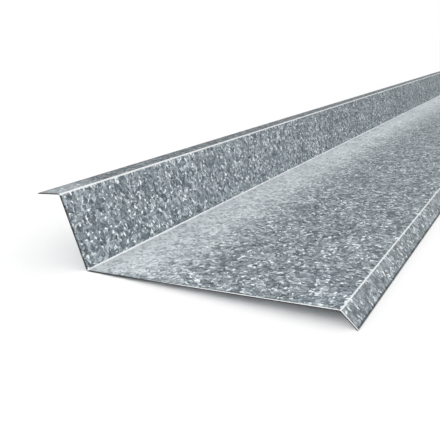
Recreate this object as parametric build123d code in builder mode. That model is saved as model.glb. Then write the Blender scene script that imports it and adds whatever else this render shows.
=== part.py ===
from build123d import *

import os
from math import asin, atan2, cos, degrees, radians, sin, tan

# Wall flashing: a strip of galvanised sheet steel with three folds along its length.
#
# In section, from the wall side outwards, it is a lip that goes into a chase in the wall, an
# upstand that lies against the wall, a wide base that lies on the roof covering, and a short
# drip that is turned down. The strip lies as it would unheld on a level floor: on the round
# underside of the heel fold, between upstand and base, and on the cut edge of the drip.
#
# Millimetres and degrees. +Y runs along the strip, +X from the wall side to the drip, +Z up.
# The origin is at floor level under the middle of the strip.

# Driving dimensions. The widths are measured on the weather face, from fold to fold.
stock_length = 2000.0
sheet_thickness = 0.6
inner_bend_radius = 1.2
lip_width = 22.0
upstand_width = 62.0
base_width = 200.0
drip_width = 16.0

# Each fold turns the sheet out of the flat by this much
lip_fold = 74.0
heel_fold = 72.0
drip_fold = 45.0

outer_bend_radius = inner_bend_radius + sheet_thickness


def step_from(start, distance, heading):
    """The point that lies at this distance and heading from start."""
    return start + Vector(distance, 0).rotate(Axis.Z, heading)


# Section of the weather face with its folds still sharp, drawn with the base level
upstand_heading = 180 - heel_fold
lip_heading = upstand_heading + lip_fold
heel_corner = Vector(0, 0)
lip_corner = step_from(heel_corner, upstand_width, upstand_heading)
lip_edge = step_from(lip_corner, lip_width, lip_heading)
drip_corner = step_from(heel_corner, base_width, 0)
drip_edge = step_from(drip_corner, drip_width, -drip_fold)

# The floor touches the heel fold's underside and the lower corner of the drip's cut edge. The
# section is turned about the centre of the heel fold until that corner is as low as the fold.
heel_centre = Vector(inner_bend_radius * tan(radians(heel_fold / 2)), inner_bend_radius)
drip_low_corner = step_from(drip_edge, sheet_thickness, -drip_fold - 90)
heel_to_drip = drip_low_corner - heel_centre
drip_drop = degrees(atan2(-heel_to_drip.Y, heel_to_drip.X))
rest_tilt = drip_drop - degrees(asin(outer_bend_radius / heel_to_drip.length))

# The section's plane carries that turn and brings the middle of the footprint over the origin
heel_centre_at_rest = heel_centre.rotate(Axis.Z, rest_tilt)
middle_at_rest = ((lip_edge + drip_edge) / 2).rotate(Axis.Z, rest_tilt)
section_plane = Plane(
    origin=(-middle_at_rest.X, 0, outer_bend_radius - heel_centre_at_rest.Y),
    x_dir=(cos(radians(rest_tilt)), 0, sin(radians(rest_tilt))),
    z_dir=(0, -1, 0),
)

with BuildPart() as wall_flashing:
    with BuildSketch(section_plane):
        with BuildLine():
            # The weather face is on the outside of the lip and drip folds, inside the heel fold
            FilletPolyline(
                lip_edge,
                lip_corner,
                heel_corner,
                drip_corner,
                drip_edge,
                radius=(outer_bend_radius, inner_bend_radius, outer_bend_radius),
            )
            # The underside lies one sheet thickness below it all the way along
            offset(amount=sheet_thickness, side=Side.RIGHT)
        make_face()
    extrude(amount=stock_length / 2, both=True)

wall_flashing.part.label = "wall_flashing"

os.makedirs("parts", exist_ok=True)
export_step(wall_flashing.part, "parts/wall_flashing.step")
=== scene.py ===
from math import asin, atan2, cos, hypot, pi, radians, sin, tan

import bpy
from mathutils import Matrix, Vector


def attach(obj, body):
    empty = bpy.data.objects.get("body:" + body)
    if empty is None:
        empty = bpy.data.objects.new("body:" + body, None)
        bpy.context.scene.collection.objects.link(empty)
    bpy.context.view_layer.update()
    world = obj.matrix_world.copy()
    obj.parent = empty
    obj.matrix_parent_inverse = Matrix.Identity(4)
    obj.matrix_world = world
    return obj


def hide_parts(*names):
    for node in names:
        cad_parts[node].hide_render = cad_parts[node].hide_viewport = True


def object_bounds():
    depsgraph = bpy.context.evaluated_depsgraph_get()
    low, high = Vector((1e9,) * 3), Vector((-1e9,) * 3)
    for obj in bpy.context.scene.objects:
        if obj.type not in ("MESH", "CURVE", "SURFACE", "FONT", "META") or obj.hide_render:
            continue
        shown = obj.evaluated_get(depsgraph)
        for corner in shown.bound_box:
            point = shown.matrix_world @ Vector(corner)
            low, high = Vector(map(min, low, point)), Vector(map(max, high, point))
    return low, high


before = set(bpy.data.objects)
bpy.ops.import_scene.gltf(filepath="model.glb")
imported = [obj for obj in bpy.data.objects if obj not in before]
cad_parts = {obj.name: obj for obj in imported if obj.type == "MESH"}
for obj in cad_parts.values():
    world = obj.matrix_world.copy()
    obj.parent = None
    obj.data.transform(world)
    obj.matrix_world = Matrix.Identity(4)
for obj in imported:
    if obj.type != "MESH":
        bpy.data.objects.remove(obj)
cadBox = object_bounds()
print("frame loaded, box", cadBox)


# small helpers for node trees

number, vector = "NodeSocketFloat", "NodeSocketVector"
shape, material = "NodeSocketGeometry", "NodeSocketMaterial"


def addNode(tree, kind, feeds=None, **settings):
    made = tree.nodes.new(kind)
    for name, value in settings.items():
        setattr(made, name, value)
    for name, value in (feeds or {}).items():  # a feed is a value or another node's output
        if isinstance(value, bpy.types.NodeSocket):
            tree.links.new(value, made.inputs[name])
        else:
            made.inputs[name].default_value = value
    return made


def addMath(tree, operation, first, second=0.0, third=0.0, **settings):
    feeds = {0: first, 1: second, 2: third}
    return addNode(tree, "ShaderNodeMath", feeds, operation=operation, **settings).outputs[0]


def addVector(tree, operation, first, second=None, third=None, scale=None):
    feeds = {0: first, 1: second, 2: third, "Scale": scale}
    feeds = {name: value for name, value in feeds.items() if value is not None}
    return addNode(tree, "ShaderNodeVectorMath", feeds, operation=operation).outputs[0]


def splitVector(tree, value):
    return addNode(tree, "ShaderNodeSeparateXYZ", {0: value}).outputs


def joinVector(tree, x=0.0, y=0.0, z=0.0):
    return addNode(tree, "ShaderNodeCombineXYZ", {0: x, 1: y, 2: z}).outputs[0]


def newGroup(name, kind, inputs, outputs):
    tree = bpy.data.node_groups.new(name, kind)
    for inOut, sockets in (("INPUT", inputs), ("OUTPUT", outputs)):
        for socketName, (socketKind, value) in sockets.items():
            socket = tree.interface.new_socket(socketName, in_out=inOut, socket_type=socketKind)
            if value is not None:
                socket.default_value = value
    entry = tree.nodes.new("NodeGroupInput").outputs
    leave = tree.nodes.new("NodeGroupOutput").inputs
    return tree, entry, leave


# The sheet, in metres and degrees. Widths run from fold to fold on the weather face.
sheet = {
    "lip": 0.022,
    "upstand": 0.062,
    "base": 0.200,
    "drip": 0.016,
    "lipFold": 74.0,
    "heelFold": 72.0,
    "dripFold": 45.0,
    "thickness": 0.0006,
    "bendRadius": 0.0012,  # on the hollow side of a fold
    "foldRows": 12,  # rows of faces across each bend
    "sharpAbove": 40.0,  # edges that turn by more than this stay sharp
    "flatRow": 0.008,  # spacing of rows across the flats
    "stationSpacing": 0.02,  # spacing of rows along the strip
    "bow": 0.0004,  # how far the base waves out of flat
    "bowSize": 0.35,  # length of one wave
    "seed": 7.0,
    "mapSide": 0.92,  # how much sheet the bake map holds from side to side
    "mapColumns": 3,  # columns that the strip is cut into there
    "mapGap": 0.004,  # free space round each part
    "mapCut": 0.002,  # width that a cut edge is given on the map
    "mapUnder": 0.45,  # scale of the underside on the map
}
tiny = 1e-5  # places closer than this are the same


def flatLayout(s):
    # Widths of flats and bends along the middle of the sheet, from the lip's edge to the drip's
    outer, middle = s["bendRadius"] + s["thickness"], s["bendRadius"] + s["thickness"] / 2
    folds = [radians(s[name]) for name in ("lipFold", "heelFold", "dripFold")]
    weatherRadii = (outer, s["bendRadius"], outer)  # the heel fold is hollow on the weather face
    setbacks = [radius * tan(fold / 2) for fold, radius in zip(folds, weatherRadii)]
    flats = [
        s["lip"] - setbacks[0],
        s["upstand"] - setbacks[0] - setbacks[1],
        s["base"] - setbacks[1] - setbacks[2],
        s["drip"] - setbacks[2],
    ]
    bends = [fold * middle for fold in folds]
    starts = [sum(flats[: i + 1]) + sum(bends[:i]) for i in range(3)]
    return flats, bends, starts, folds, middle


def restTurn(s):
    # How far the base tips up when the heel fold and the drip's cut edge touch the floor
    hollow = (s["bendRadius"] * tan(radians(s["heelFold"]) / 2), s["bendRadius"])
    down = radians(s["dripFold"])
    lowX = s["base"] + s["drip"] * cos(down) - s["thickness"] * sin(down) - hollow[0]
    lowZ = -s["drip"] * sin(down) - s["thickness"] * cos(down) - hollow[1]
    outer = s["bendRadius"] + s["thickness"]
    return atan2(-lowZ, lowX) - asin(outer / hypot(lowX, lowZ))


flats, bends, bendStarts, foldAngles, middleRadius = flatLayout(sheet)
heelEnd = bendStarts[1] + bends[1]
stripWidth = sum(flats) + sum(bends)
stripLength = cadBox[1][1] - cadBox[0][1]


def makeFoldGroup():
    # Rolls everything past Fold At round a bend, up for Side 1 and down for Side -1
    tree, entry, leave = newGroup(
        "foldSheet",
        "GeometryNodeTree",
        {
            "Sheet": (shape, None),
            "Fold At": (number, 0.0),
            "Angle": (number, 1.0),
            "Middle Radius": (number, 0.001),
            "Side": (number, 1.0),
        },
        {"Sheet": (shape, None)},
    )
    x, y, z = splitVector(tree, addNode(tree, "GeometryNodeInputPosition").outputs[0])
    radius, side = entry["Middle Radius"], entry["Side"]
    past = addMath(tree, "MAXIMUM", addMath(tree, "SUBTRACT", x, entry["Fold At"]), 0.0)
    angle = addMath(tree, "MINIMUM", addMath(tree, "DIVIDE", past, radius), entry["Angle"])
    beyond = addMath(tree, "SUBTRACT", past, addMath(tree, "MULTIPLY", angle, radius))
    arm = addMath(tree, "SUBTRACT", radius, addMath(tree, "MULTIPLY", side, z))
    sine, cosine = addMath(tree, "SINE", angle), addMath(tree, "COSINE", angle)
    before = addMath(tree, "SUBTRACT", x, past)
    along = addMath(tree, "MULTIPLY_ADD", arm, sine, before)
    along = addMath(tree, "MULTIPLY_ADD", beyond, cosine, along)
    lift = addMath(tree, "MULTIPLY_ADD", beyond, sine, radius)
    lift = addMath(tree, "SUBTRACT", lift, addMath(tree, "MULTIPLY", arm, cosine))
    place = joinVector(tree, along, y, addMath(tree, "MULTIPLY", lift, side))
    moved = addNode(tree, "GeometryNodeSetPosition", {"Geometry": entry["Sheet"], "Position": place})
    tree.links.new(moved.outputs[0], leave["Sheet"])
    return tree


def keepValue(tree, geometry, name, value, kind, domain, **feeds):
    feeds.update({"Geometry": geometry, "Name": name, "Value": value})
    kept = addNode(tree, "GeometryNodeStoreNamedAttribute", feeds, data_type=kind, domain=domain)
    return kept.outputs[0]


def readValue(tree, name, kind):
    return addNode(tree, "GeometryNodeInputNamedAttribute", {"Name": name}, data_type=kind).outputs[0]


def addFlatSheet(tree, s, length):
    # Strips side by side: each bend has close rows that reach a little into its flats
    margin = s["thickness"]
    edges = [0.0]
    for start, bend in zip(bendStarts, bends):
        edges += [start - margin, start, start + bend, start + bend + margin]
    edges.append(stripWidth)
    stations = s["mapColumns"] * round(stripLength / s["mapColumns"] / s["stationSpacing"]) + 1
    joined = tree.nodes.new("GeometryNodeJoinGeometry")
    for i, (left, right) in enumerate(zip(edges, edges[1:])):
        if i % 4 == 2:  # a bend
            rows = s["foldRows"]
        elif i % 4 == 0:  # a flat
            rows = max(1, round((right - left) / s["flatRow"]))
        else:  # the narrow strip between them
            rows = 1
        feeds = {"Size X": right - left, "Size Y": length}
        feeds.update({"Vertices X": rows + 1, "Vertices Y": stations})
        grid = addNode(tree, "GeometryNodeMeshGrid", feeds).outputs[0]
        feeds = {"Geometry": grid, "Translation": ((left + right) / 2, 0.0, 0.0)}
        tree.links.new(addNode(tree, "GeometryNodeTransform", feeds).outputs[0], joined.inputs[0])
    feeds = {"Geometry": joined.outputs[0], "Distance": tiny}
    return addNode(tree, "GeometryNodeMergeByDistance", feeds).outputs[0]


def addThickness(tree, s, flat, entry):
    # The underside waves slightly out of flat between heel and drip, and the weather face with it
    place = addNode(tree, "GeometryNodeInputPosition").outputs[0]
    feeds = {
        "Value": splitVector(tree, place)[0],
        "From Min": heelEnd + s["thickness"],
        "From Max": bendStarts[2] - s["thickness"],
        "To Max": pi,
    }
    across = addNode(tree, "ShaderNodeMapRange", feeds).outputs[0]
    waveScale = addMath(tree, "DIVIDE", 1.0, entry["Bow Size"])
    feeds = {"Vector": place, "W": entry["Seed"], "Scale": waveScale, "Detail": 1.0}
    wave = addNode(tree, "ShaderNodeTexNoise", feeds, noise_dimensions="4D").outputs[0]
    wave = addMath(tree, "MULTIPLY_ADD", wave, 2.0, -1.0)
    bow = addMath(tree, "MULTIPLY", addMath(tree, "SINE", across), entry["Bow"])
    height = addMath(tree, "MULTIPLY", wave, bow)
    drop = joinVector(tree, z=addMath(tree, "MULTIPLY_ADD", entry["Thickness"], -0.5, height))
    lower = addNode(tree, "GeometryNodeSetPosition", {"Geometry": flat, "Offset": drop}).outputs[0]

    # flatPlace is the place on the flat sheet, for the materials: its z is 1 on the underside
    def withPlace(side):
        spot = splitVector(tree, addNode(tree, "GeometryNodeInputPosition").outputs[0])
        value = joinVector(tree, spot[0], spot[1], side)
        return keepValue(tree, lower, "flatPlace", value, "FLOAT_VECTOR", "CORNER")

    feeds = {"Mesh": withPlace(0.0), "Offset Scale": entry["Thickness"], "Individual": False}
    raised = addNode(tree, "GeometryNodeExtrudeMesh", feeds, mode="FACES").outputs
    solid = keepValue(tree, raised["Mesh"], "cutFace", raised["Side"], "BOOLEAN", "FACE")
    # cutHeight runs from 0 at the underside to 1 at the weather face
    solid = keepValue(tree, solid, "cutHeight", 1.0, "FLOAT", "POINT", Selection=raised["Top"])
    under = addNode(tree, "GeometryNodeFlipFaces", {"Mesh": withPlace(1.0)}).outputs[0]
    both = tree.nodes.new("GeometryNodeJoinGeometry")
    for part in (solid, under):
        tree.links.new(part, both.inputs[0])
    feeds = {"Geometry": both.outputs[0], "Distance": tiny}
    return addNode(tree, "GeometryNodeMergeByDistance", feeds).outputs[0]


def addBakeMap(tree, s, geometry):
    # The weather face lies on the map in columns side by side, with the cut edges folded out from
    # its rim, and the underside lies above them, smaller and turned
    columnLength = stripLength / s["mapColumns"]
    columnPitch = (s["mapSide"] - s["mapGap"]) / s["mapColumns"]
    x, y, under = splitVector(tree, readValue(tree, "flatPlace", "FLOAT_VECTOR"))
    fromEnd = addMath(tree, "ADD", y, stripLength / 2)
    faceFromEnd = addNode(tree, "GeometryNodeFieldOnDomain", {0: fromEnd}, domain="FACE").outputs[0]
    column = addMath(tree, "FLOOR", addMath(tree, "DIVIDE", faceFromEnd, columnLength))
    column = addMath(tree, "MINIMUM", column, s["mapColumns"] - 1)

    out = addMath(tree, "SUBTRACT", 1.0, readValue(tree, "cutHeight", "FLOAT"))
    out = addMath(tree, "MULTIPLY", out, s["mapCut"])

    def foldedOut(value, end):
        beyond = addMath(tree, "GREATER_THAN", value, end - tiny)
        before = addMath(tree, "LESS_THAN", value, tiny)
        return addMath(tree, "MULTIPLY_ADD", out, addMath(tree, "SUBTRACT", beyond, before), value)

    u = addMath(tree, "MULTIPLY_ADD", column, columnPitch, foldedOut(x, stripWidth))
    v = addMath(tree, "MULTIPLY_ADD", column, -columnLength, foldedOut(fromEnd, stripLength))
    weather = addVector(tree, "ADD", joinVector(tree, u, v), (s["mapGap"], s["mapGap"], 0.0))
    turned = addVector(tree, "SCALE", joinVector(tree, fromEnd, x), scale=s["mapUnder"])
    underAt = (s["mapGap"], columnLength + s["mapCut"] + 3 * s["mapGap"], 0.0)
    underside = addVector(tree, "ADD", turned, underAt)
    place = addNode(tree, "ShaderNodeMix", {0: under, 4: weather, 5: underside}, data_type="VECTOR")
    onMap = addVector(tree, "SCALE", place.outputs[1], scale=1.0 / s["mapSide"])
    return keepValue(tree, geometry, "OFBake", onMap, "FLOAT2", "CORNER")


def makeSheetTree(s, foldGroup):
    # A flat sheet that is thickened, folded three times and set down on the floor
    tree, entry, leave = newGroup(
        "foldedSheet",
        "GeometryNodeTree",
        {
            "Geometry": (shape, None),
            "Length": (number, 2.0),
            "Thickness": (number, 0.0006),
            "Lip Fold": (number, 1.0),
            "Heel Fold": (number, 1.0),
            "Drip Fold": (number, 1.0),
            "Middle Radius": (number, 0.0015),
            "Bow": (number, 0.0),
            "Bow Size": (number, 0.4),
            "Seed": (number, 0.0),
            "Rest Turn": (number, 0.0),
            "Floor Corner": (vector, None),
            "Zinc": (material, None),
            "Cut Steel": (material, None),
        },
        {"Geometry": (shape, None)},
    )
    folded = addThickness(tree, s, addFlatSheet(tree, s, entry["Length"]), entry)
    folded = addBakeMap(tree, s, folded)

    # the fold furthest from the lip comes first, so each one swings the finished folds with it
    for name, at, side in (
        ("Drip Fold", bendStarts[2], -1.0),
        ("Heel Fold", bendStarts[1], 1.0),
        ("Lip Fold", bendStarts[0], -1.0),
    ):
        feeds = {
            "Sheet": folded,
            "Fold At": at,
            "Angle": entry[name],
            "Middle Radius": entry["Middle Radius"],
            "Side": side,
        }
        folded = addNode(tree, "GeometryNodeGroup", feeds, node_tree=foldGroup).outputs[0]

    # turn it to its rest, and set the low corner of its box on the floor
    feeds = {"Geometry": folded, "Rotation": joinVector(tree, y=entry["Rest Turn"])}
    turned = addNode(tree, "GeometryNodeTransform", feeds).outputs[0]
    lowest = addNode(tree, "GeometryNodeBoundBox", {0: turned}).outputs["Min"]
    down = addVector(tree, "SUBTRACT", entry["Floor Corner"], lowest)
    done = addNode(tree, "GeometryNodeTransform", {"Geometry": turned, "Translation": down}).outputs[0]
    feeds = {"Geometry": done, "Shade Smooth": True}
    done = addNode(tree, "GeometryNodeSetShadeSmooth", feeds).outputs[0]
    cornerTurn = addNode(tree, "GeometryNodeInputMeshEdgeAngle").outputs["Unsigned Angle"]
    sharp = addMath(tree, "GREATER_THAN", cornerTurn, radians(s["sharpAbove"]))
    feeds = {"Geometry": done, "Selection": sharp, "Shade Smooth": False}
    done = addNode(tree, "GeometryNodeSetShadeSmooth", feeds, domain="EDGE").outputs[0]
    done = addNode(tree, "GeometryNodeRealizeInstances", {"Geometry": done}).outputs[0]
    cut = readValue(tree, "cutFace", "BOOLEAN")
    for paint, where in ((entry["Zinc"], True), (entry["Cut Steel"], cut)):
        feeds = {"Geometry": done, "Selection": where, "Material": paint}
        done = addNode(tree, "GeometryNodeSetMaterial", feeds).outputs[0]
    tree.links.new(done, leave["Geometry"])
    return tree


def makePiece(name, tree, values):
    # Runs a tree on an empty mesh and keeps the result as a plain mesh at the origin
    seedMesh = bpy.data.meshes.new(name + "Seed")
    seedObject = bpy.data.objects.new(name + "Seed", seedMesh)
    bpy.context.scene.collection.objects.link(seedObject)
    modifier = seedObject.modifiers.new("shape", "NODES")
    modifier.node_group = tree
    for item in tree.interface.items_tree:
        if item.item_type == "SOCKET" and item.in_out == "INPUT" and item.name in values:
            modifier[item.identifier] = values[item.name]
    evaluated = seedObject.evaluated_get(bpy.context.evaluated_depsgraph_get())
    mesh = bpy.data.meshes.new_from_object(evaluated)
    bpy.data.objects.remove(seedObject)
    mesh.name = name
    if mesh.materials[0] is None:  # left by the grids, which start with no material
        mesh.materials.pop(index=0)
    piece = bpy.data.objects.new(name, mesh)
    bpy.context.scene.collection.objects.link(piece)
    return piece


# What the zinc looks like, sizes in metres
zincLook = {
    "patchSize": 0.0043,  # patches of crystal that lie one way
    "shardSize": 0.0021,  # long crystals inside them
    "shardStretch": 2.2,
    "crumbSize": 0.0011,
    "patchShare": 0.35,  # share of each in how pale a spot is
    "shardShare": 0.45,
    "crumbShare": 0.20,
    "flakeSize": 0.0020,  # pale crystal flakes over them all, painted near white as glints
    "flakeStretch": 2.0,
    "flakeShare": 0.08,
    "flakeEdge": 5.0,  # higher makes more of the flakes fully bright
    "ragged": 0.0004,  # how far the outlines are torn
    "raggedScale": 900.0,  # and how finely
    "rimLine": 0.00022,  # painted glint along the outline of some of the patches
    "cloudSize": 0.04,  # slow drift from darker to lighter areas
    "cloud": 0.2,
    "tilt": 0.12,  # how far the crystals lean out of the sheet
    "tones": ((0.15, 0.12), (0.35, 0.205), (0.5, 0.295), (0.65, 0.435), (0.85, 0.70), (1.0, 0.87)),
    "metallic": 0.6,
    "edgeTint": 0.25,  # tint of the metal's reflection where it is seen from a low angle
    "lowShine": 0.2,
    "dullest": 0.58,  # roughness of the dark grains
    "shiniest": 0.42,  # and of the pale ones
    "smudge": 0.3,  # how much the slow drift changes the roughness
    "glintColour": (0.93, 0.98, 1.0, 1.0),
    "foldHighlight": 0.95,  # how strongly the folds are painted with a bright highlight
    "foldHighlightColour": (0.95, 0.97, 0.98, 1.0),
    "foldHighlightLine": 0.3,  # half the painted highlight line, and its fade, as shares of the bend's width
    "foldHighlightRagged": 0.0005,  # how far that line wanders
    "foldHighlightRaggedScale": 350.0,  # and how finely
    "rimShadeWidth": 0.0018,  # painted shade: a dark line along the edges
    "rimShade": 0.75,
    "endHighlightWidth": 0.0018,  # painted highlight along the ends, where the cut edge catches the light
    "endHighlightReach": 0.12,  # how far it goes inwards from the drip
    "endHighlightFade": 0.05,
    "heelPaintedLight": 0.2,  # painted light: a pale band on the base beside the heel fold, in place of light reflected onto it there
    "heelPaintedLightColour": (0.80, 0.84, 0.86, 1.0),
    "heelPaintedLightLift": 0.45,  # how much paler the painted light makes the crystals there
    "heelPaintedLightReach": 0.09,
    "lipPaintedShade": 0.4,  # painted shade: how much darker the lip is painted, away from its ends
    "lipEnds": 0.03,  # length of those ends, and of the fade before them
    "lipEndHighlight": 0.25,  # painted highlight: how much paler the lip is painted at them
    # painted light: how much paler the drip is painted
    "dripPaintedLight": 0.1,
    "paintedShadeGrey": 0.05,  # the painted shade and the painted light go towards these greys
    "paintedLightGrey": 0.84,
}


def makeSpangleGroup():
    # Zinc crystals: patches, long shards that lie another way in each patch, crumbs and flakes
    tree, entry, leave = newGroup(
        "zincSpangle",
        "ShaderNodeTree",
        {
            "Place": (vector, None),
            "Patch Size": (number, 0.004),
            "Shard Size": (number, 0.002),
            "Shard Stretch": (number, 2.0),
            "Crumb Size": (number, 0.001),
            "Patch Share": (number, 0.4),
            "Shard Share": (number, 0.4),
            "Crumb Share": (number, 0.2),
            "Flake Size": (number, 0.002),
            "Flake Stretch": (number, 2.0),
            "Flake Share": (number, 0.05),
            "Flake Edge": (number, 5.0),
            "Ragged": (number, 0.0005),
            "Ragged Scale": (number, 900.0),
            "Rim Line": (number, 0.0002),
            "Cloud Size": (number, 0.05),
            "Cloud": (number, 0.1),
            "Tilt": (number, 0.1),
        },
        {
            "Tone": (number, None),
            "Glint": (number, None),
            "Drift": (number, None),
            "Facet": (vector, None),
        },
    )
    rimPatches, rimBreaks = (0.91, 0.95), (0.3, 0.4)  # random picks from which an outline shows
    feeds = {"Vector": entry["Place"], "Scale": entry["Ragged Scale"], "Detail": 1.0}
    jitter = addNode(tree, "ShaderNodeTexNoise", feeds).outputs["Color"]
    shift = addVector(tree, "SUBTRACT", jitter, (0.5, 0.5, 0.5))
    shift = addVector(tree, "SCALE", shift, scale=entry["Ragged"])
    torn = addVector(tree, "MULTIPLY_ADD", shift, (2.0, 2.0, 0.0), entry["Place"])

    def cells(place, size, **settings):
        feeds = {"Vector": place, "Scale": addMath(tree, "DIVIDE", 1.0, size)}
        return addNode(tree, "ShaderNodeTexVoronoi", feeds, voronoi_dimensions="3D", **settings).outputs

    def turnStretch(place, angle, stretch):
        feeds = {"Vector": place, "Angle": angle}
        turned = addNode(tree, "ShaderNodeVectorRotate", feeds, rotation_type="Z_AXIS").outputs[0]
        squash = joinVector(tree, addMath(tree, "DIVIDE", 1.0, stretch), 1.0, 1.0)
        return addVector(tree, "MULTIPLY", turned, squash)

    def randoms(made):
        return addNode(tree, "ShaderNodeSeparateColor", {0: made["Color"]}).outputs

    def above(value, low, high):
        feeds = {"Value": value, "From Min": low, "From Max": high}
        return addNode(tree, "ShaderNodeMapRange", feeds).outputs[0]

    patch = cells(torn, entry["Patch Size"])
    patchPick = randoms(patch)
    swing = addMath(tree, "MULTIPLY", patchPick[1], 2.0 * pi)
    shard = cells(turnStretch(torn, swing, entry["Shard Stretch"]), entry["Shard Size"])
    crumbPick = randoms(cells(torn, entry["Crumb Size"]))
    tone = addMath(tree, "MULTIPLY", patchPick[0], entry["Patch Share"])
    tone = addMath(tree, "MULTIPLY_ADD", randoms(shard)[0], entry["Shard Share"], tone)
    tone = addMath(tree, "MULTIPLY_ADD", crumbPick[0], entry["Crumb Share"], tone)
    cloudScale = addMath(tree, "DIVIDE", 1.0, entry["Cloud Size"])
    feeds = {"Vector": entry["Place"], "Scale": cloudScale, "Detail": 2.0}
    cloud = addNode(tree, "ShaderNodeTexNoise", feeds).outputs[0]
    drift = addMath(tree, "SUBTRACT", cloud, 0.5)
    tone = addMath(tree, "MULTIPLY_ADD", drift, entry["Cloud"], tone)

    # the flakes, and the outlines of some patches broken up by the crumbs, are painted bright as glints
    # of light
    flakeTurn = addMath(tree, "ADD", swing, 1.0)  # a radian round from the shards
    flakePlace = turnStretch(torn, flakeTurn, entry["Flake Stretch"])
    flakePick = randoms(cells(flakePlace, entry["Flake Size"]))[0]
    flake = above(flakePick, addMath(tree, "SUBTRACT", 1.0, entry["Flake Share"]), 1.0)
    flake = addMath(tree, "MULTIPLY", flake, entry["Flake Edge"], use_clamp=True)
    border = cells(torn, entry["Patch Size"], feature="DISTANCE_TO_EDGE")["Distance"]
    border = addMath(tree, "MULTIPLY", border, entry["Patch Size"])
    outline = addMath(tree, "LESS_THAN", border, entry["Rim Line"])
    outline = addMath(tree, "MULTIPLY", outline, above(patchPick[2], *rimPatches))
    outline = addMath(tree, "MULTIPLY", outline, above(crumbPick[1], *rimBreaks))

    # two random colours added and centred on zero say which way a crystal leans
    lean = addVector(tree, "ADD", patch["Color"], shard["Color"])
    lean = addVector(tree, "SUBTRACT", lean, (1.0, 1.0, 1.0))
    normal = addNode(tree, "ShaderNodeNewGeometry").outputs["Normal"]
    facet = addVector(tree, "ADD", addVector(tree, "SCALE", lean, scale=entry["Tilt"]), normal)
    tree.links.new(tone, leave["Tone"])
    tree.links.new(addMath(tree, "MAXIMUM", flake, outline), leave["Glint"])
    tree.links.new(drift, leave["Drift"])
    tree.links.new(addVector(tree, "NORMALIZE", facet), leave["Facet"])
    return tree


def makeBandGroup():
    # 1 within Half Width of Centre, fading to 0 over Fade: the band that places the painted light and
    # shade
    tree, entry, leave = newGroup(
        "paintedMarkBand",
        "ShaderNodeTree",
        {
            "Across": (number, 0.0),
            "Centre": (number, 0.0),
            "Half Width": (number, 0.001),
            "Fade": (number, 0.0005),
        },
        {"Mask": (number, None)},
    )
    away = addMath(tree, "ABSOLUTE", addMath(tree, "SUBTRACT", entry["Across"], entry["Centre"]))
    into = addMath(tree, "SUBTRACT", addMath(tree, "ADD", entry["Half Width"], entry["Fade"]), away)
    mask = addMath(tree, "DIVIDE", into, entry["Fade"], use_clamp=True)
    tree.links.new(mask, leave["Mask"])
    return tree


def bandMask(tree, band, across, centre, halfWidth, fade):
    feeds = {"Across": across, "Centre": centre, "Half Width": halfWidth, "Fade": fade}
    return addNode(tree, "ShaderNodeGroup", feeds, node_tree=band).outputs[0]


def makeRamp(tree, value, stops):
    ramp = addNode(tree, "ShaderNodeValToRGB", {0: value})
    while len(ramp.color_ramp.elements) < len(stops):
        ramp.color_ramp.elements.new(0.5)
    for element, (position, tint) in zip(ramp.color_ramp.elements, stops):
        element.position = position
        element.color = tint
    return ramp.outputs[0]


def zincGrey(level):
    # zinc is a little blue, and more so where it is dark
    red, blue = 0.8 + 0.18 * level, 1.125 - 0.11 * level
    return (level * red, level, level * blue, 1.0)


def mixColour(tree, mask, below, above):
    return addNode(tree, "ShaderNodeMix", {0: mask, 6: below, 7: above}, data_type="RGBA").outputs[2]


def readPlace(tree):
    return addNode(tree, "ShaderNodeAttribute", attribute_name="flatPlace").outputs["Vector"]


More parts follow.
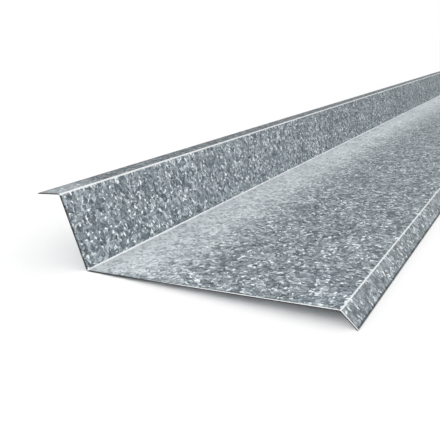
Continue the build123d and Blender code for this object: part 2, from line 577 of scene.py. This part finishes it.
def makeZinc(look, spangle, band):
    zinc = bpy.data.materials.new("galvanisedZinc")
    zinc.use_nodes = True
    tree = zinc.node_tree
    shader = tree.nodes["Principled BSDF"].inputs
    place = readPlace(tree)
    across, along, under = splitVector(tree, place)
    feeds = {
        "Place": place,
        "Patch Size": look["patchSize"],
        "Shard Size": look["shardSize"],
        "Shard Stretch": look["shardStretch"],
        "Crumb Size": look["crumbSize"],
        "Patch Share": look["patchShare"],
        "Shard Share": look["shardShare"],
        "Crumb Share": look["crumbShare"],
        "Flake Size": look["flakeSize"],
        "Flake Stretch": look["flakeStretch"],
        "Flake Share": look["flakeShare"],
        "Flake Edge": look["flakeEdge"],
        "Ragged": look["ragged"],
        "Ragged Scale": look["raggedScale"],
        "Rim Line": look["rimLine"],
        "Cloud Size": look["cloudSize"],
        "Cloud": look["cloud"],
        "Tilt": look["tilt"],
    }
    grain = addNode(tree, "ShaderNodeGroup", feeds, node_tree=spangle).outputs

    # painted light: the crystals on the weather face are paler beside the heel fold, and less so
    # further out, in place of light reflected onto the base there
    heelPaintedLight = bandMask(tree, band, across, heelEnd, 0.0, look["heelPaintedLightReach"])
    heelPaintedLight = addMath(tree, "MULTIPLY", heelPaintedLight, addMath(tree, "GREATER_THAN", across, bendStarts[1]))
    heelPaintedLight = addMath(tree, "MULTIPLY", heelPaintedLight, addMath(tree, "SUBTRACT", 1.0, under))
    tone = addMath(tree, "MULTIPLY_ADD", heelPaintedLight, look["heelPaintedLightLift"], grain["Tone"])
    tint = makeRamp(tree, tone, [(at, zincGrey(level)) for at, level in look["tones"]])
    tint = mixColour(tree, addMath(tree, "MULTIPLY", heelPaintedLight, look["heelPaintedLight"]), tint, look["heelPaintedLightColour"])
    # painted glints on the flakes and outlines
    tint = mixColour(tree, grain["Glint"], tint, look["glintColour"])

    # painted shade makes the lip darker than the rest, except at its ends, which get a painted
    # highlight, and painted light makes the drip a little paler
    lip = bandMask(tree, band, across, 0.0, bendStarts[0], bends[0])
    insideHalf = stripLength / 2 - 2.0 * look["lipEnds"]
    inside = bandMask(tree, band, along, 0.0, insideHalf, look["lipEnds"])
    lipShade = addMath(tree, "MULTIPLY", addMath(tree, "MULTIPLY", lip, inside), look["lipPaintedShade"])
    tint = mixColour(tree, lipShade, tint, zincGrey(look["paintedShadeGrey"]))
    atEnds = addMath(tree, "MULTIPLY", lip, addMath(tree, "SUBTRACT", 1.0, inside))
    drip = bandMask(tree, band, across, stripWidth, flats[3], bends[2])
    paintedLight = addMath(tree, "MULTIPLY", drip, look["dripPaintedLight"])
    paintedLight = addMath(tree, "MULTIPLY_ADD", atEnds, look["lipEndHighlight"], paintedLight)
    tint = mixColour(tree, paintedLight, tint, zincGrey(look["paintedLightGrey"]))

    # painted shade makes a dark line all round the edges, and a painted highlight takes its place at
    # the ends towards the drip
    half, endHalf = look["rimShadeWidth"] / 2, look["endHighlightWidth"] / 2
    highlightSide = bandMask(tree, band, across, stripWidth, look["endHighlightReach"], look["endHighlightFade"])
    kept = addMath(tree, "SUBTRACT", 1.0, highlightSide)
    rim, endHighlight = 0.0, 0.0
    for edge in (0.0, stripWidth):
        rim = addMath(tree, "MAXIMUM", rim, bandMask(tree, band, across, edge, half, half))
    # painted highlight at the ends towards the drip, painted shade at the rest of the ends
    for end in (-stripLength / 2, stripLength / 2):
        dark = addMath(tree, "MULTIPLY", bandMask(tree, band, along, end, half, half), kept)
        bright = addMath(tree, "MULTIPLY", bandMask(tree, band, along, end, endHalf, endHalf), highlightSide)
        rim = addMath(tree, "MAXIMUM", rim, dark)
        endHighlight = addMath(tree, "MAXIMUM", endHighlight, bright)
    rim = addMath(tree, "MULTIPLY", rim, look["rimShade"])
    tint = mixColour(tree, rim, tint, zincGrey(look["paintedShadeGrey"]))

    # painted highlights along the folds, a little uneven
    feeds = {"Vector": place, "Scale": look["foldHighlightRaggedScale"], "Detail": 2.0}
    nibble = addNode(tree, "ShaderNodeTexNoise", feeds).outputs[0]
    nibble = addMath(tree, "MULTIPLY_ADD", nibble, 2.0 * look["foldHighlightRagged"], -look["foldHighlightRagged"])
    uneven = addMath(tree, "ADD", across, nibble)
    paintedHighlights = 0.0
    for start, bend in zip(bendStarts, bends):
        line = bend * look["foldHighlightLine"]
        fold = bandMask(tree, band, uneven, start + bend / 2, line, line)
        paintedHighlights = addMath(tree, "MAXIMUM", paintedHighlights, fold)
    paintedHighlights = addMath(tree, "MAXIMUM", paintedHighlights, endHighlight)
    paintedHighlights = addMath(tree, "MULTIPLY", paintedHighlights, look["foldHighlight"])
    tint = mixColour(tree, paintedHighlights, tint, look["foldHighlightColour"])
    tree.links.new(tint, shader["Base Color"])

    feeds = {"Value": grain["Tone"], "To Min": look["dullest"], "To Max": look["shiniest"]}
    rough = addNode(tree, "ShaderNodeMapRange", feeds).outputs[0]
    rough = addMath(tree, "MULTIPLY_ADD", grain["Drift"], look["smudge"], rough)
    tree.links.new(rough, shader["Roughness"])
    tree.links.new(grain["Facet"], shader["Normal"])
    shader["Metallic"].default_value = look["metallic"]
    shader["Specular IOR Level"].default_value = look["lowShine"]
    shader["Specular Tint"].default_value = (look["edgeTint"],) * 3 + (1.0,)
    return zinc


# The bare dark steel on the cut faces, with streaks from the shears
steelLook = {
    "streakScale": 900.0,
    "tones": ((0.3, (0.010, 0.008, 0.007, 1.0)), (0.7, (0.035, 0.028, 0.025, 1.0))),
    "shiniest": 0.45,  # roughness of the dark streaks
    "dullest": 0.65,
    "metallic": 0.3,
    "lowShine": 0.1,
}


def makeCutSteel(look):
    steel = bpy.data.materials.new("shearedSteel")
    steel.use_nodes = True
    tree = steel.node_tree
    shader = tree.nodes["Principled BSDF"].inputs
    feeds = {"Vector": readPlace(tree), "Scale": look["streakScale"], "Detail": 3.0}
    streak = addNode(tree, "ShaderNodeTexNoise", feeds).outputs[0]
    tree.links.new(makeRamp(tree, streak, look["tones"]), shader["Base Color"])
    feeds = {"Value": streak, "To Min": look["shiniest"], "To Max": look["dullest"]}
    rough = addNode(tree, "ShaderNodeMapRange", feeds).outputs[0]
    tree.links.new(rough, shader["Roughness"])
    shader["Metallic"].default_value = look["metallic"]
    shader["Specular IOR Level"].default_value = look["lowShine"]
    return steel


zinc = makeZinc(zincLook, makeSpangleGroup(), makeBandGroup())
cutSteel = makeCutSteel(steelLook)
print("zinc and cut steel made")
flashing = makePiece(
    "foldedFlashing",
    makeSheetTree(sheet, makeFoldGroup()),
    {
        "Length": stripLength,
        "Thickness": sheet["thickness"],
        "Lip Fold": foldAngles[0],
        "Heel Fold": foldAngles[1],
        "Drip Fold": foldAngles[2],
        "Middle Radius": middleRadius,
        "Bow": sheet["bow"],
        "Bow Size": sheet["bowSize"],
        "Seed": sheet["seed"],
        "Rest Turn": foldAngles[1] - foldAngles[0] - restTurn(sheet),
        "Floor Corner": cadBox[0],
        "Zinc": zinc,
        "Cut Steel": cutSteel,
    },
)
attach(flashing, "root")
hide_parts("wall_flashing")
print("flashing made:", len(flashing.data.polygons), "faces")


# Floor and light, in metres and degrees
studio = {
    "floorSize": 60.0,
    "floorTone": 0.98,
    "skyDiffuse": 0.848,  # how strongly the white surroundings light matt surfaces
    "keyFrom": (-0.6, -0.8, 0.45),  # a wide soft sun from the front left
    "keySpread": 40.0,
    "keyPower": 1.3,
    "nearAt": (0.35, -1.7, 0.9),  # high in front of the near end, to the right
    "nearWidth": 1.2,
    "nearHeight": 0.6,
    "nearPower": 1.6,
    "heelAt": -0.065,  # this far across from the middle of the strip
    "heelHeight": 0.40,
    "heelWidth": 0.03,
    "heelSpread": 14.0,
    "heelPower": 0.08,
}


def makeFloor(s):
    mesh = bpy.data.meshes.new("floor")
    half, low = s["floorSize"] / 2, cadBox[0][2]
    corners = [(-half, -half, low), (half, -half, low), (half, half, low), (-half, half, low)]
    mesh.from_pydata(corners, [], [(0, 1, 2, 3)])
    floor = bpy.data.objects.new("floor", mesh)
    bpy.context.scene.collection.objects.link(floor)
    paint = bpy.data.materials.new("whiteFloor")
    paint.use_nodes = True
    shader = paint.node_tree.nodes["Principled BSDF"].inputs
    shader["Base Color"].default_value = (s["floorTone"],) * 3 + (1.0,)
    shader["Roughness"].default_value = 1.0
    shader["Specular IOR Level"].default_value = 0.0
    mesh.materials.append(paint)


def makeSky(s):
    # plain white where it is seen, also in the metal
    world = bpy.data.worlds.new("studioWhite")
    bpy.context.scene.world = world
    world.use_nodes = True
    tree = world.node_tree
    path = tree.nodes.new("ShaderNodeLightPath").outputs
    seen = addMath(tree, "MAXIMUM", path["Is Glossy Ray"], path["Is Transmission Ray"])
    seen = addMath(tree, "MAXIMUM", path["Is Camera Ray"], seen)
    feeds = {"Value": seen, "To Min": s["skyDiffuse"], "To Max": 1.0}
    strength = addNode(tree, "ShaderNodeMapRange", feeds)
    back = tree.nodes["Background"].inputs
    back["Color"].default_value = (1.0, 1.0, 1.0, 1.0)
    tree.links.new(strength.outputs[0], back["Strength"])


def addLamp(name, kind, power, place, aim=(0.0, 0.0, 0.0)):
    lamp = bpy.data.lights.new(name, kind)
    lamp.energy = power
    holder = bpy.data.objects.new(name, lamp)
    holder.location = place
    holder.rotation_euler = (Vector(place) - Vector(aim)).to_track_quat("Z", "Y").to_euler()
    bpy.context.scene.collection.objects.link(holder)
    return lamp


def addLamps(s):
    key = addLamp("keyLight", "SUN", s["keyPower"], s["keyFrom"])
    key.angle = radians(s["keySpread"])

    # a softbox for the near end and the floor in front of it
    near = addLamp("nearLight", "AREA", s["nearPower"], s["nearAt"], (0.0, -stripLength / 2, 0.0))
    near.shape, near.size, near.size_y = "RECTANGLE", s["nearWidth"], s["nearHeight"]

    # a long narrow softbox hangs over the base beside the heel fold
    heelPlace, heelFoot = (s["heelAt"], 0.0, s["heelHeight"]), (s["heelAt"], 0.0, 0.0)
    heel = addLamp("heelLight", "AREA", s["heelPower"], heelPlace, heelFoot)
    heel.shape, heel.size, heel.size_y = "RECTANGLE", s["heelWidth"], stripLength
    heel.spread = radians(s["heelSpread"])


# The camera, in metres and degrees, with its lens and sensor in millimetres
view = {
    "place": (0.2159, -1.3437, 0.1753),
    "turn": 28.17,  # to the left of the strip's run
    "dip": 16.81,  # below level
    "lens": 50.76,
    "sensor": 36.0,
}


def makeCamera(v):
    lens = bpy.data.cameras.new("camera")
    lens.lens, lens.sensor_width = v["lens"], v["sensor"]
    camera = bpy.data.objects.new("camera", lens)
    camera.location = v["place"]
    camera.rotation_euler = (radians(90.0 - v["dip"]), 0.0, radians(v["turn"]))
    bpy.context.scene.collection.objects.link(camera)
    bpy.context.scene.camera = camera


makeFloor(studio)
makeSky(studio)
addLamps(studio)
makeCamera(view)
bpy.context.scene.view_settings.view_transform = "Standard"
print("floor, lights and camera placed")
